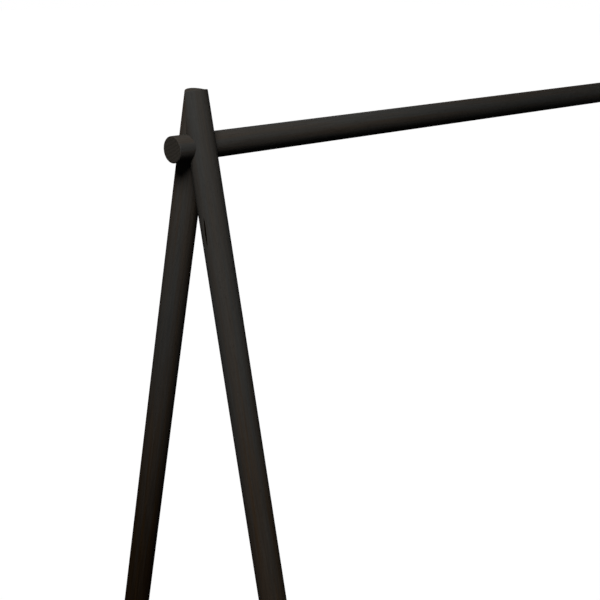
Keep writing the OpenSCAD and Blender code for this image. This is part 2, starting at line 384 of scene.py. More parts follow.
class Shader:
    """Node tree of a material or of the world."""

    def __init__(self, owner):
        self.owner = owner
        owner.use_nodes = True
        self.tree = owner.node_tree
        self.tree.nodes.clear()

    def node(self, kind, settings=None, values=None, output=0):
        """Adds a node, sets it up, fills its sockets and returns one of its outputs."""
        made = self.tree.nodes.new(kind)
        for name, setting in (settings or {}).items():
            setattr(made, name, setting)
        for name, value in (values or {}).items():
            socket = find_socket(made.inputs, name)
            if isinstance(value, Value):
                self.tree.links.new(value.socket, socket)
            else:
                socket.default_value = value
        return Value(self, find_socket(made.outputs, output)) if made.outputs else made

    def coordinates(self, output="Object"):
        return self.node("ShaderNodeTexCoord", output=output)

    def placed(self, centre=(0, 0, 0), turn=(0, 0, 0)):
        """Object coordinates seen from a centre, with a member's axis as Z."""
        values = {"Vector": self.coordinates(), "Location": centre, "Rotation": turn}
        return self.node("ShaderNodeMapping", {"vector_type": "TEXTURE"}, values)

    def along(self, place):
        """How far a place lies along Z."""
        return self.node("ShaderNodeSeparateXYZ", {}, {"Vector": place}, "Z")

    def vector_math(self, operation, first, second, output="Vector"):
        values = {0: first, "Scale" if operation == "SCALE" else 1: second}
        return self.node("ShaderNodeVectorMath", {"operation": operation}, values, output)

    def dot(self, first, second):
        return self.vector_math("DOT_PRODUCT", first, second, "Value")

    def noise(self, place, width, length=None, seed=0.0, detail=2.0, output="Fac"):
        """Smooth noise with grains of a width across Z and a length along it."""
        per_metre = (1 / width, 1 / width, 1 / (length or width))
        stretched = self.vector_math("MULTIPLY", place, per_metre)
        values = {"Vector": stretched, "W": seed, "Scale": 1.0, "Detail": detail}
        return self.node("ShaderNodeTexNoise", {"noise_dimensions": "4D"}, values, output)

    def blend(self, first, second, amount):
        """Mixes two colours."""
        values = {"Factor_Float": amount, "A_Color": as_colour(first), "B_Color": as_colour(second)}
        return self.node("ShaderNodeMix", {"data_type": "RGBA"}, values, "Result_Color")

    def bump(self, height, depth):
        """Relief in which a height of 1 stands as far out as the depth."""
        values = {"Height": height, "Distance": depth, "Strength": 1.0}
        return self.node("ShaderNodeBump", {}, values)

    def output(self, surface, kind="Material"):
        """Ends the tree in a surface and returns its material or world."""
        self.node("ShaderNodeOutput" + kind, {}, {"Surface": surface})
        return self.owner

    def surface(self, colour, roughness, normal, metallic=0.0, gloss=0.5):
        """Ends the tree in a Principled surface."""
        values = {
            "Base Color": colour, "Roughness": roughness, "Normal": normal,
            "Metallic": metallic, "Specular IOR Level": gloss}
        return self.output(self.node("ShaderNodeBsdfPrincipled", {}, values))


def new_material(name):
    """Empty tree of a new material."""
    return Shader(bpy.data.materials.new(name))


def find_socket(sockets, name):
    """Finds a socket by its number, identifier or name."""
    if isinstance(name, int):
        return sockets[name]
    for socket in sockets:
        if socket.identifier == name:
            return socket
    for socket in sockets:
        if socket.name == name and socket.enabled:
            return socket
    raise KeyError(f"no socket named {name} among {[socket.identifier for socket in sockets]}")


def as_colour(value):
    """A colour that a socket takes, or the link that was given."""
    return value if isinstance(value, Value) else (*value, 1.0)


# How thin a member's stain is before and beyond THIN_STRETCH, and the light and shade painted on it
# before and beyond a stretch of its own: a level on the wood's colour that paints light and shade along
# the member, with the front legs darker at the top and lighter lower down, the rear legs darker towards
# the bottom and the rail darker towards its left end. A leg is measured down from the point where its
# axis meets the other leg's, and the hanging rail from its middle towards the left.
THIN_STRETCH = (0.2, 0.75)
FRONT_LEG_STAIN_AND_PAINTED_LIGHT = {"thin": (0.02, 0.9), "painted_light": (0.9, 1.12), "stretch": (0.0, 0.35)}
REAR_LEG_STAIN_AND_PAINTED_LIGHT = {"thin": (0.18, 1.1), "painted_light": (1.14, 0.68), "stretch": (0.35, 0.65)}
RAIL_STAIN_AND_PAINTED_LIGHT = {"thin": (0.15, 0.04), "painted_light": (1.1, 0.91), "stretch": (0.45, 0.72)}
EVEN_STAIN = {"thin": (0.35, 0.35), "painted_light": (1.0, 1.0), "stretch": (0.0, 1.0)}

# The side of each member on which the heart of its tree lies, the seed of its grain, and its stain with
# the light and shade painted along it
WOODS = {
    "left_front_leg": ((1, 0.35, 0), 3.1, FRONT_LEG_STAIN_AND_PAINTED_LIGHT),
    "left_rear_leg": ((0.8, -1, 0), 10.4, REAR_LEG_STAIN_AND_PAINTED_LIGHT),
    "right_front_leg": ((-0.3, 1, 0), 17.7, FRONT_LEG_STAIN_AND_PAINTED_LIGHT),
    "right_rear_leg": ((-1, -0.4, 0), 25.0, REAR_LEG_STAIN_AND_PAINTED_LIGHT),
    "hanging_rail": ((0, 0.506, 0.863), 41.7, RAIL_STAIN_AND_PAINTED_LIGHT),
    "left_cross_bar": ((-0.6, 0, 1), 53.9, EVEN_STAIN),
    "right_cross_bar": ((0.6, 0, 1), 60.0, EVEN_STAIN),
    "front_shoe_rail": ((0, 1, 0.7), 67.3, EVEN_STAIN),
    "rear_shoe_rail": ((0, 1, -0.8), 73.0, EVEN_STAIN),
}

# Marks that noises draw in the grain: width, length, detail, and the levels of the noise at
# which a mark starts and is full
GRAIN_MARKS = {
    "band": (12 * MM, 420 * MM, 2.0, 0.36, 0.66),
    "streak": (3 * MM, 110 * MM, 3.0, 0.4, 0.68),
    "fibre": (0.9 * MM, 38 * MM, 2.0, 0.33, 0.67),
    "hair": (0.35 * MM, 11 * MM, 2.0, 0.3, 0.7),
    "pore": (0.5 * MM, 6 * MM, 1.0, 0.6, 0.7),
}


class Member:
    """One stained piece of wood: its axis, how it was cut from the tree, how its stain came out and the
    light and shade painted along it.
    """

    def __init__(self, node, centre, turn):
        self.node = node
        self.centre = Vector(centre)
        self.turn = Vector(turn)
        self.pith, self.seed, self.stain = WOODS[node]

    def matrix(self):
        """Turn from the member's own directions to the object's."""
        turn_x = Matrix.Rotation(self.turn.x, 3, "X")
        turn_y = Matrix.Rotation(self.turn.y, 3, "Y")
        return turn_y @ turn_x

    def axis(self):
        """Unit vector along the member."""
        return self.matrix() @ Z_AXIS

    def pith_place(self, distance):
        """Where the heart of the tree lies beside the member's axis, in its own directions."""
        sideways = self.matrix().transposed() @ Vector(self.pith)
        sideways.z = 0
        return sideways.normalized() * distance


def members(wood):
    """Every stained member. The legs lean, the cross bars lie along Y and the rails along X."""
    made = []
    for node in WOODS:
        centre = middle(node)
        turn = (0, QUARTER_TURN, 0)
        if "shoe_rail" not in node:
            centre.y = 0
        if node in LEGS:
            centre.z = wood.leg_meeting_height
            turn = (wood.leg_lean if "rear" in node else -wood.leg_lean, 0, 0)
        elif "cross_bar" in node:
            turn = (QUARTER_TURN, 0, 0)
        made.append(Member(node, centre, turn))
    return made


def drying_check(shader, place, wood):
    """Narrow crack on the left front leg, just below the fork of the legs."""
    angle, slant, sideways = math.radians(-173), -0.045, 0.2 * MM
    middle_height, length, width, thinnest = -132 * MM, 34 * MM, 2.6 * MM, 0.01 * MM
    ragged_by, ragged_size = 1.2 * MM, (30 * MM, 8 * MM)
    outward = Vector((math.cos(angle), math.sin(angle), 0))
    beside = Vector((-math.sin(angle), math.cos(angle), slant))

    offset = shader.dot(place, beside) - (slant * middle_height + sideways)
    ragged = offset + (shader.noise(place, *ragged_size, seed=5.0) - 0.5) * ragged_by
    share = abs(shader.along(place) - middle_height) / (length / 2)
    half_width = (1 - share ** 2).at_least(0.0) * (width / 2)
    inside = 1 - (abs(ragged) / half_width.at_least(thinnest)).rise(0.55, 1.25)
    facing = shader.dot(place, outward).rise(0.5 * wood.leg_radius, 0.6 * wood.leg_radius)
    return inside * facing * (1 - share.rise(0.95, 1.0))


def wandering_grain(shader, place, seed):
    """Place in the grain, which wanders so that the fibres aren't quite parallel to the rod."""
    wander, wander_size = 7 * MM, (60 * MM, 260 * MM)
    drift = shader.noise(place, *wander_size, seed, detail=1.0, output="Color")
    drift = shader.vector_math("SUBTRACT", drift, (0.5, 0.5, 0.5))
    drift = shader.vector_math("MULTIPLY", drift, (wander, wander, 0))
    return shader.vector_math("ADD", place, drift)


def late_wood_in(shader, grain, member, wood):
    """1 in the dense late wood at the end of each year ring."""
    wobble_years, wobble_size = 1.1, (9 * MM, 300 * MM)
    thickening, spring = (0.35, 0.9), (0.92, 1.0)
    from_pith = shader.vector_math("SUBTRACT", grain, member.pith_place(wood.pith_distance))
    from_pith = shader.vector_math("MULTIPLY", from_pith, (1, 1, 0))
    from_pith = shader.node("ShaderNodeVectorMath", {"operation": "LENGTH"}, {0: from_pith}, "Value")
    wobble = shader.noise(grain, *wobble_size, member.seed + 1, detail=1.0) - 0.5
    year = (from_pith / wood.ring_spacing + wobble * wobble_years).fraction()
    return year.rise(*thickening) - year.rise(*spring)


def between(ends, share):
    """Goes from the first of two numbers to the second as the share goes from 0 to 1."""
    return ends[0] + share * (ends[1] - ends[0])


def wood_brightness(marks, late_wood, end, thin):
    """Brightness against the stain's colour. The grain shows more where the stain is thin."""
    shows = 0.35 + 0.65 * thin
    fibre_contrast, hair_contrast = 0.08 + 0.3 * shows * shows, 0.08
    pore_contrast, late_contrast, ring_contrast = 0.2, 0.14, 0.2
    plain_level, thin_loss = 1.06, 0.08
    level = plain_level + (marks["fibre"] - 0.5) * fibre_contrast
    level = level + (marks["hair"] - 0.5) * hair_contrast - marks["pore"] * (1 - end) * pore_contrast
    level = level - (late_wood * late_contrast + thin_loss) * shows
    return level - end * late_wood * ring_contrast


def stained_wood(member, wood):
    """Black-stained wood with the grain along one member."""
    shader = new_material("stained_" + member.node)
    place = shader.placed(member.centre, member.turn)
    grain = wandering_grain(shader, place, member.seed)
    late_wood = late_wood_in(shader, grain, member, wood)
    # The wander and the rings take the member's first two seeds, and the marks the next ones
    marks = {}
    for step, (name, (width, length, detail, start, full)) in enumerate(GRAIN_MARKS.items(), 2):
        marks[name] = shader.noise(grain, width, length, member.seed + step, detail).rise(start, full)
    marks["pore"] = marks["pore"] * (1 - late_wood)
    end = abs(shader.dot(shader.coordinates("Normal"), member.axis())).rise(0.75, 0.95)

    down = shader.along(place) * -1
    thin = between(member.stain["thin"], down.rise(*THIN_STRETCH))
    # Painted light and shade: a level on the wood that darkens or lightens it along the member, darker
    # towards the bottom of the rear legs and the rail's left end
    painted_light = between(member.stain["painted_light"], down.rise(*member.stain["stretch"]))
    streak_middle, band_middle, band_contrast = 0.33, 0.4, 0.3
    brown = thin + (marks["streak"] - streak_middle) * (0.15 + 0.5 * thin)
    brown = (brown + (marks["band"] - band_middle) * band_contrast).clamped()
    crack = drying_check(shader, place, wood) if member.node == "left_front_leg" else 0.0
    # The crack's brown wood is its own colour; darkening it nearly to black paints the shade inside the
    # crack
    crack_painted_shade, crack_depth = 0.93, 4

    colour = shader.blend(wood.stain, wood.thin_stain, brown.at_least(crack) * (1 - end))
    colour = shader.blend(colour, wood.end_grain, end)
    # The level carries the grain, the painted light and shade along the member, and the crack's painted
    # shade
    level = wood_brightness(marks, late_wood, end, thin) * painted_light * (1 - crack_painted_shade * crack)
    roughness = wood.roughness + 0.1 * marks["hair"] - 0.08 * late_wood + 0.12 * end
    height = marks["fibre"] * 0.35 + marks["hair"] * 0.25 - marks["pore"] * 0.9
    height = height + late_wood * 0.2 - crack_depth * crack
    return shader.surface(
        shader.vector_math("SCALE", colour, level), roughness, shader.bump(height, 0.09 * MM),
        gloss=wood.gloss)


def bare_wood(finishes):
    """Bare beech of the dowels, with short dark flecks."""
    shader = new_material("bare_beech")
    place = shader.placed(turn=(QUARTER_TURN, 0, 0))
    fibre = shader.noise(place, 0.6 * MM, 9 * MM, seed=2.0).rise(0.35, 0.65)
    fleck = shader.noise(place, 0.5 * MM, 2.4 * MM, seed=8.0, detail=1.0).rise(0.62, 0.7)
    colour = shader.blend(finishes.beech, finishes.beech_fibre, fibre)
    colour = shader.blend(colour, finishes.beech_fleck, fleck * 0.6)
    return shader.surface(colour, 0.62 + 0.12 * fibre, shader.bump(fibre - fleck, 0.05 * MM))


def black_oxide(finishes):
    """Black steel with a satin, slightly mottled finish."""
    shader = new_material("black_oxide_steel")
    place = shader.placed()
    mottle = shader.noise(place, 2.2 * MM, seed=1.0, detail=4.0).rise(0.35, 0.68)
    grit = shader.noise(place, 0.25 * MM, seed=2.0)
    colour = shader.blend(finishes.steel, finishes.steel_mottle, mottle)
    return shader.surface(colour, 0.36 + 0.14 * mottle, shader.bump(grit, 0.02 * MM), metallic=0.6)


def zinc_plate(finishes):
    """Bright zinc with faint clouds and fine scratches."""
    shader = new_material("bright_zinc")
    place = shader.placed()
    cloud = shader.noise(place, 3 * MM, seed=3.0, detail=4.0).rise(0.35, 0.68)
    scratch = shader.noise(place, 0.2 * MM, 3 * MM, seed=4.0).rise(0.4, 0.7)
    colour = shader.blend(finishes.zinc, finishes.zinc_cloud, cloud)
    roughness = 0.26 + 0.12 * cloud + 0.08 * scratch
    return shader.surface(colour, roughness, shader.bump(scratch, 0.01 * MM), metallic=1.0)


def moulded_nylon(finishes):
    """Black nylon with the fine texture of its mould."""
    shader = new_material("moulded_nylon")
    place = shader.placed()
    texture = shader.noise(place, 0.3 * MM, seed=5.0, detail=3.0).rise(0.3, 0.7)
    cloud = shader.noise(place, 6 * MM, seed=6.0).rise(0.35, 0.65)
    colour = shader.blend(finishes.nylon, finishes.nylon_cloud, cloud)
    return shader.surface(colour, 0.48 + 0.14 * texture, shader.bump(texture, 0.03 * MM))


def deselect_all():
    bpy.ops.object.select_all(action="DESELECT")


def make_active(piece):
    """Selects one piece alone."""
    deselect_all()
    piece.select_set(True)
    bpy.context.view_layer.objects.active = piece


@contextmanager
def edit_mode():
    """Edit mode on the active piece, for the lines of a with block."""
    bpy.ops.object.mode_set(mode="EDIT")
    yield
    bpy.ops.object.mode_set(mode="OBJECT")


def start_piece(name):
    """Names the primitive that was just added and puts its place into its mesh."""
    bpy.ops.object.transform_apply()
    piece = bpy.context.object
    piece.name = piece.data.name = name
    return piece


def cylinder(name, radius, bottom, top, vertices=64):
    """Starts a piece with a cylinder along Z between two heights."""
    deselect_all()
    bpy.ops.mesh.primitive_cylinder_add(
        vertices=vertices, radius=radius, depth=top - bottom, location=(0, 0, (bottom + top) / 2))
    return start_piece(name)


def select_where(piece, kind, wanted):
    """In edit mode, selects the faces or edges that pass a test, and nothing else."""
    bpy.ops.mesh.select_mode(type=kind)
    bpy.ops.mesh.select_all(action="DESELECT")
    mesh = bmesh.from_edit_mesh(piece.data)
    for part in mesh.faces if kind == "FACE" else mesh.edges:
        if wanted(part):
            part.select_set(True)
    bmesh.update_edit_mesh(piece.data)


def select_cap(piece, height):
    """In edit mode, selects the flat face at a height."""
    select_where(piece, "FACE", lambda face: (
        abs(face.normal.z) > 0.99 and abs(face.calc_center_median().z - height) < TOLERANCE))


def bevel_rim(piece, height, size, segments):
    """In edit mode, bevels the edges that lie at a height."""
    select_where(piece, "EDGE", lambda edge: (
        all(abs(vertex.co.z - height) < TOLERANCE for vertex in edge.verts)))
    bpy.ops.mesh.bevel(offset=size, segments=segments)


def extrude_by(step, scale=1.0):
    """Extrudes what is selected by a step, and scales the new end about the Z axis."""
    bpy.ops.mesh.extrude_region_move(TRANSFORM_OT_translate={"value": step})
    if scale != 1.0:
        bpy.ops.transform.resize(value=(scale, scale, 1), center_override=(0, 0, 0))


def draw_profile(name, points):
    """Draws an open line in the XZ plane, one point after the other."""
    deselect_all()
    first = Vector(points[0])
    bpy.ops.mesh.primitive_plane_add(size=1 * MM, location=(first.x, 0, first.y))
    profile = start_piece(name)
    with edit_mode():
        bpy.ops.mesh.select_mode(type="VERT")
        bpy.ops.mesh.select_all(action="SELECT")
        bpy.ops.mesh.merge(type="CENTER")
        for start, end in zip(points, points[1:]):
            step = Vector(end) - Vector(start)
            extrude_by((step.x, 0, step.y))
    return profile


def close_up():
    """In edit mode, merges doubles and points all faces outwards."""
    bpy.ops.mesh.select_all(action="SELECT")
    bpy.ops.mesh.remove_doubles(threshold=MERGE_DISTANCE)
    bpy.ops.mesh.normals_make_consistent(inside=False)


def turned(name, points, steps):
    """Turns a profile round Z, as on a lathe."""
    piece = draw_profile(name, points)
    with edit_mode():
        bpy.ops.mesh.select_all(action="SELECT")
        bpy.ops.mesh.spin(steps=steps, angle=FULL_TURN, center=(0, 0, 0), axis=(0, 0, 1))
        close_up()
    return piece


def cut_level(height, keep_above):
    """In edit mode, cuts the mesh off at a height and caps it."""
    bpy.ops.mesh.select_all(action="SELECT")
    bpy.ops.mesh.bisect(
        plane_co=(0, 0, height), plane_no=(0, 0, 1), use_fill=True, threshold=MERGE_DISTANCE,
        clear_inner=keep_above, clear_outer=not keep_above)


def threaded_rod(name, crest, depth, pitch, bottom, top, steps=24):
    """Round rod along Z with a helical thread, cut square at both ends."""
    root = crest - depth
    land = pitch / 16
    # Below the lower end by no whole number of steps, so that neither cut runs through a corner
    start = bottom - 1.51 * pitch
    profile = [
        (root, 0), (root, land), (crest, pitch / 2 - land), (crest, pitch / 2 + land),
        (root, pitch - land), (root, pitch)]
    piece = draw_profile(name, [(x, start + z) for x, z in profile])
    make_active(piece)
    screw = piece.modifiers.new("thread", "SCREW")
    screw.axis = "Z"
    screw.screw_offset = pitch
    screw.iterations = math.ceil((top - bottom) / pitch) + 2
    screw.steps = screw.render_steps = steps
    bpy.ops.object.modifier_apply(modifier=screw.name)
    with edit_mode():
        close_up()
        cut_level(bottom, keep_above=True)
        cut_level(top, keep_above=False)
        close_up()
    return piece


def boolean(piece, tool, operation):
    """Joins or cuts a piece with a tool, which is used up."""
    make_active(piece)
    modifier = piece.modifiers.new(operation.lower(), "BOOLEAN")
    modifier.operation = operation
    modifier.object = tool
    modifier.solver = "EXACT"
    bpy.ops.object.modifier_apply(modifier=modifier.name)
    bpy.data.objects.remove(tool)


def smooth_by_angle(piece, degrees=35):
    make_active(piece)
    bpy.ops.object.shade_smooth_by_angle(angle=math.radians(degrees))


def facing_matrix(place, direction):
    """Moves a piece from the origin to a place, with its Z in a direction."""
    turn = Z_AXIS.rotation_difference(Vector(direction)).to_matrix().to_4x4()
    return Matrix.Translation(place) @ turn


def placed_copies(master, name, places):
    """Copies a piece that was modelled at the origin to its places, as one piece."""
    copies = []
    for place in places:
        copy = master.copy()
        copy.data = master.data.copy()
        bpy.context.collection.objects.link(copy)
        copy.data.transform(place)
        copies.append(copy)
    make_active(copies[0])
    for copy in copies:
        copy.select_set(True)
    if len(copies) > 1:
        bpy.ops.object.join()
    piece = bpy.context.object
    piece.name = piece.data.name = name
    return piece


def fit_copies(master, material, fittings):
    """Fits copies of a master, which is then removed. Each fitting gives the new piece's name,
    the node that it stands for and the places of its copies."""
    for name, node, places in fittings:
        piece = placed_copies(master, name, places)
        piece.data.materials.clear()
        piece.data.materials.append(material)
        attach(piece, BODY)
        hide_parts(node)
    bpy.data.objects.remove(master)


def arc(centre, radius, start, end, count):
    """Points of an arc from a start to an end angle, in degrees."""
    points = []
    for number in range(count + 1):
        angle = math.radians(start + (end - start) * number / count)
        points.append((centre[0] + radius * math.cos(angle), centre[1] + radius * math.sin(angle)))
    return points


def hexagon_key(bolts):
    """Tool that cuts a bolt's socket: a hexagon with a drilled tip and a flared mouth."""
    radius = bolts.socket_width / 2 / math.cos(math.pi / 6)
    mouth, flare, stands_out = 0.3 * MM, 1.14, 1 * MM
    tip_depth, tip_scale = 0.35 * MM, 0.2
    top = bolts.head_thickness
    bottom = top - bolts.socket_depth
    key = cylinder("hexagon_key", radius, bottom, top - mouth, vertices=6)
    with edit_mode():
        select_cap(key, top - mouth)
        extrude_by((0, 0, mouth), flare)
        extrude_by((0, 0, stands_out))
        select_cap(key, bottom)
        extrude_by((0, 0, -tip_depth), tip_scale)
    return key


def model_bolt(bolts, length):
    """Flat-headed bolt along Z with its tip down and its head's underside at the origin."""
    head = bolts.head_diameter / 2
    shank = bolts.shank_diameter / 2
    under_edge, fillet, neck = 0.2 * MM, 0.3 * MM, 1.5 * MM
    # The shank is a little thinner than the thread's crests and ends inside the thread
    shank_gap, crest_gap, overlap = 0.04 * MM, 0.01 * MM, 0.4 * MM
    tip_scale = 0.8
    thread_top = min(length - neck, bolts.longest_thread) - length
    tip = bolts.tip_chamfer - length
    bolt = cylinder("bolt", head, 0, bolts.head_thickness)
    with edit_mode():
        bevel_rim(bolt, bolts.head_thickness, bolts.rim_round, segments=5)
        bevel_rim(bolt, 0, under_edge, segments=2)
        select_cap(bolt, 0)
        bpy.ops.mesh.inset(thickness=head - under_edge - shank - fillet)
        extrude_by((0, 0, -fillet), (shank - shank_gap) / (shank + fillet))
        extrude_by((0, 0, thread_top + fillet))
    screw = threaded_rod(
        "thread", shank - crest_gap, bolts.thread_depth, bolts.pitch, tip, thread_top + overlap)
    with edit_mode():
        select_cap(screw, tip)
        extrude_by((0, 0, -bolts.tip_chamfer), tip_scale)
    boolean(bolt, screw, "UNION")
    boolean(bolt, hexagon_key(bolts), "DIFFERENCE")
    smooth_by_angle(bolt)
    return bolt


def slot_tool(width, length, depth, top):
    """Block that cuts a screwdriver slot along X into the end at the top."""
    deselect_all()
    bpy.ops.mesh.primitive_cube_add(size=1)
    tool = start_piece("slot_tool")
    tool.data.transform(Matrix.Diagonal((length, width, 2 * depth, 1)))
    tool.data.transform(Matrix.Translation((0, 0, top)))
    return tool


def thread_tool(sizes, bolts, length, matrix):
    """Tool that cuts an inner thread."""
    crest = sizes.bore_diameter / 2 + bolts.thread_depth
    tool = threaded_rod("thread_tool", crest, bolts.thread_depth, bolts.pitch, -length / 2, length / 2)
    tool.data.transform(matrix)
    return tool


def model_barrel_nut(sizes, bolts, length):
    """Barrel nut along Z about the origin, with its thread along X and its slot at the bottom."""
    radius = sizes.nut_diameter / 2
    along_x = Matrix.Rotation(QUARTER_TURN, 4, "Y")
    nut = cylinder("barrel_nut", radius, -length / 2, length / 2)
    with edit_mode():
        for end in (-1, 1):
            bevel_rim(nut, end * length / 2, sizes.nut_chamfer, segments=2)
    boolean(nut, thread_tool(sizes, bolts, 3 * radius, along_x), "DIFFERENCE")
    boolean(nut, slot_tool(sizes.slot_width, 3 * radius, sizes.slot_depth, -length / 2), "DIFFERENCE")
    smooth_by_angle(nut)
    return nut


def model_insert(sizes, bolts, length):
    """Threaded insert along Z about the origin, with a slot across its outer end."""
    insert = threaded_rod(
        "rail_insert", sizes.insert_diameter / 2, sizes.insert_thread_depth, sizes.insert_pitch,
        -length / 2, length / 2, steps=48)
    boolean(insert, thread_tool(sizes, bolts, 1.5 * length, Matrix.Identity(4)), "DIFFERENCE")
    slot = slot_tool(sizes.slot_width, 2 * sizes.insert_diameter, sizes.slot_depth, length / 2)
    boolean(insert, slot, "DIFFERENCE")
    smooth_by_angle(insert)
    return insert


def model_dowel(dowels, length):
    """Fluted dowel along Z about the origin."""
    flute_edge = 0.1 * MM

    def in_flute(face):
        """Every other pair of the long side faces."""
        centre = face.calc_center_median()
        turn = math.atan2(centre.y, centre.x) / FULL_TURN * dowels.flutes
        long_side = abs(face.normal.z) < 0.1 and abs(centre.z) < length / 8
        return long_side and turn % 1 < 0.5

    dowel = cylinder(
        "dowel", dowels.diameter / 2, -length / 2, length / 2, vertices=4 * dowels.flutes)
    with edit_mode():
        for end in (-1, 1):
            bevel_rim(dowel, end * length / 2, dowels.end_chamfer, segments=3)
        select_where(dowel, "FACE", in_flute)
        bpy.ops.mesh.inset(thickness=flute_edge, depth=-dowels.flute_depth)
    smooth_by_angle(dowel, degrees=50)
    return dowel


def model_glide(sizes):
    """Moulded glide standing on the origin, with a closed pocket for its nail's head."""
    radius = sizes.diameter / 2
    top = sizes.thickness
    rounding = sizes.lower_round
    hole = sizes.nail_diameter / 2 + sizes.nail_gap
    pocket = sizes.nail_head_diameter / 2 + sizes.nail_gap
    pocket_floor = 1.4 * MM
    pocket_top = pocket_floor + sizes.nail_head_thickness + 2 * sizes.nail_gap
    dish = sizes.dish_diameter / 2
    lip_start, lip_corner, lip_height = 0.8 * MM, 0.5 * MM, 0.06 * MM
    gate, gate_slope, gate_height = 1.1 * MM, 0.25 * MM, 0.5 * sizes.dish_depth
    # Pocket and hole of the nail, the rim, then the dish and the mark of the gate in its middle
    profile = [(0, pocket_floor), (pocket, pocket_floor), (pocket, pocket_top), (hole, pocket_top)]
    profile += [(hole, top), (radius - sizes.upper_chamfer, top), (radius, top - sizes.upper_chamfer)]
    profile += arc((radius - rounding, rounding), rounding, start=0, end=-90, count=7)
    profile += [(dish + lip_start, 0), (dish + lip_corner, lip_height), (dish, sizes.dish_depth)]
    profile += [(gate + gate_slope, sizes.dish_depth), (gate, gate_height), (0, gate_height)]
    glide = turned("glide", profile, steps=72)
    smooth_by_angle(glide)
    return glide


def model_nail(sizes, low, high):
    """Ring-shanked nail along Z, with its head at the bottom."""
    head = sizes.nail_head_diameter / 2
    shank = sizes.nail_diameter / 2
    neck = low + sizes.nail_head_thickness
    lower_edge, upper_edge = 0.25 * MM, 0.2 * MM
    plain_shank, tip, tip_radius, tip_round = 5 * MM, 3 * MM, 0.3 * MM, 0.1 * MM
    groove, groove_share = 0.16 * MM, 0.2
    profile = [(0, low), (head - lower_edge, low), (head, low + lower_edge), (head, neck - upper_edge)]
    profile += [(head - upper_edge, neck), (shank, neck)]
    rings = int((high - tip - neck - plain_shank) / sizes.ring_pitch)
    for ring in range(rings):
        start = high - tip - (rings - ring) * sizes.ring_pitch
        profile += [(shank, start), (shank - groove, start + groove_share * sizes.ring_pitch)]
    profile += [(shank, high - tip), (tip_radius, high - tip_round), (0, high)]
    nail = turned("nail", profile, steps=24)
    smooth_by_angle(nail, degrees=25)
    return nail


class RACK_OT_finish_woodwork(bpy.types.Operator):
    """Give every stained member its own wood, with the grain along it"""

    bl_idname = "rack.finish_woodwork"
    bl_label = "Finish woodwork"

    def execute(self, context):
        wood = context.scene.rack_wood
        for member in members(wood):
            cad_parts[member.node].material_slots[0].material = stained_wood(member, wood)
        return {"FINISHED"}


class RACK_OT_make_rail_bolts(bpy.types.Operator):
    """Model the bolt in the back of each rear leg that locks the hanging rail"""

    bl_idname = "rack.make_rail_bolts"
    bl_label = "Make rail bolts"

    def execute(self, context):
        bolts = context.scene.rack_bolts
        low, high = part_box("left_rail_bolt")
        fittings = []
        for end in ENDS:
            node = end + "_rail_bolt"
            seat = Vector((middle(node).x, high.y - bolts.head_thickness, middle(node).z))
            fittings.append((end + "_locking_bolt", node, [facing_matrix(seat, Y_AXIS)]))
        bolt = model_bolt(bolts, high.y - low.y - bolts.head_thickness)
        fit_copies(bolt, black_oxide(context.scene.rack_finishes), fittings)
        return {"FINISHED"}


class RACK_OT_make_shoe_rail_bolts(bpy.types.Operator):
    """Model the two bolts at each end that hold the shoe rails"""

    bl_idname = "rack.make_shoe_rail_bolts"
    bl_label = "Make shoe rail bolts"

    def execute(self, context):
        bolts = context.scene.rack_bolts
        fittings = []
        for end, outward in zip(ENDS, (-X_AXIS, X_AXIS)):
            node = end + "_shoe_rail_bolts"
            low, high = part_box(node)
            outer_face = low.x if outward.x < 0 else high.x
            places = []
            for side in (-1, 1):
                seat = Vector((outer_face, side * shoe_rail_offset, bar_height))
                places.append(facing_matrix(seat - outward * bolts.head_thickness, outward))
            fittings.append((end + "_long_bolts", node, places))
        bolt = model_bolt(bolts, extent("left_shoe_rail_bolts").x - bolts.head_thickness)
        fit_copies(bolt, black_oxide(context.scene.rack_finishes), fittings)
        return {"FINISHED"}


class RACK_OT_make_barrel_nuts(bpy.types.Operator):
    """Model the barrel nuts that stand upright in the shoe rails"""

    bl_idname = "rack.make_barrel_nuts"
    bl_label = "Make barrel nuts"

    def execute(self, context):
        scene = context.scene
        fittings = []
        for end in ENDS:
            node = end + "_barrel_nuts"
            places = []
            for side in (-1, 1):
                places.append(Matrix.Translation((middle(node).x, side * shoe_rail_offset, bar_height)))
            fittings.append((end + "_cross_nuts", node, places))
        nut = model_barrel_nut(scene.rack_nuts, scene.rack_bolts, extent("left_barrel_nuts").z)
        fit_copies(nut, zinc_plate(scene.rack_finishes), fittings)
        return {"FINISHED"}


class RACK_OT_make_rail_inserts(bpy.types.Operator):
    """Model the threaded inserts let into the back of the hanging rail"""

    bl_idname = "rack.make_rail_inserts"
    bl_label = "Make rail inserts"

    def execute(self, context):
        scene = context.scene
        fittings = []
        for end in ENDS:
            node = end + "_rail_insert"
            fittings.append((end + "_threaded_insert", node, [facing_matrix(middle(node), Y_AXIS)]))
        insert = model_insert(scene.rack_nuts, scene.rack_bolts, extent("left_rail_insert").y)
        fit_copies(insert, zinc_plate(scene.rack_finishes), fittings)
        return {"FINISHED"}


class RACK_OT_make_head_dowels(bpy.types.Operator):
    """Model the fluted dowels that cross the mitre of each head"""

    bl_idname = "rack.make_head_dowels"
    bl_label = "Make head dowels"

    def execute(self, context):
        dowels = context.scene.rack_dowels
        fittings = []
        for end in ENDS:
            node = end + "_head_dowels"
            low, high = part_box(node)
            places = []
            for height in (low.z + dowels.diameter / 2, high.z - dowels.diameter / 2):
                places.append(facing_matrix((middle(node).x, 0, height), Y_AXIS))
            fittings.append((end + "_fluted_dowels", node, places))
        dowel = model_dowel(dowels, extent("left_head_dowels").y)
        fit_copies(dowel, bare_wood(context.scene.rack_finishes), fittings)
        return {"FINISHED"}


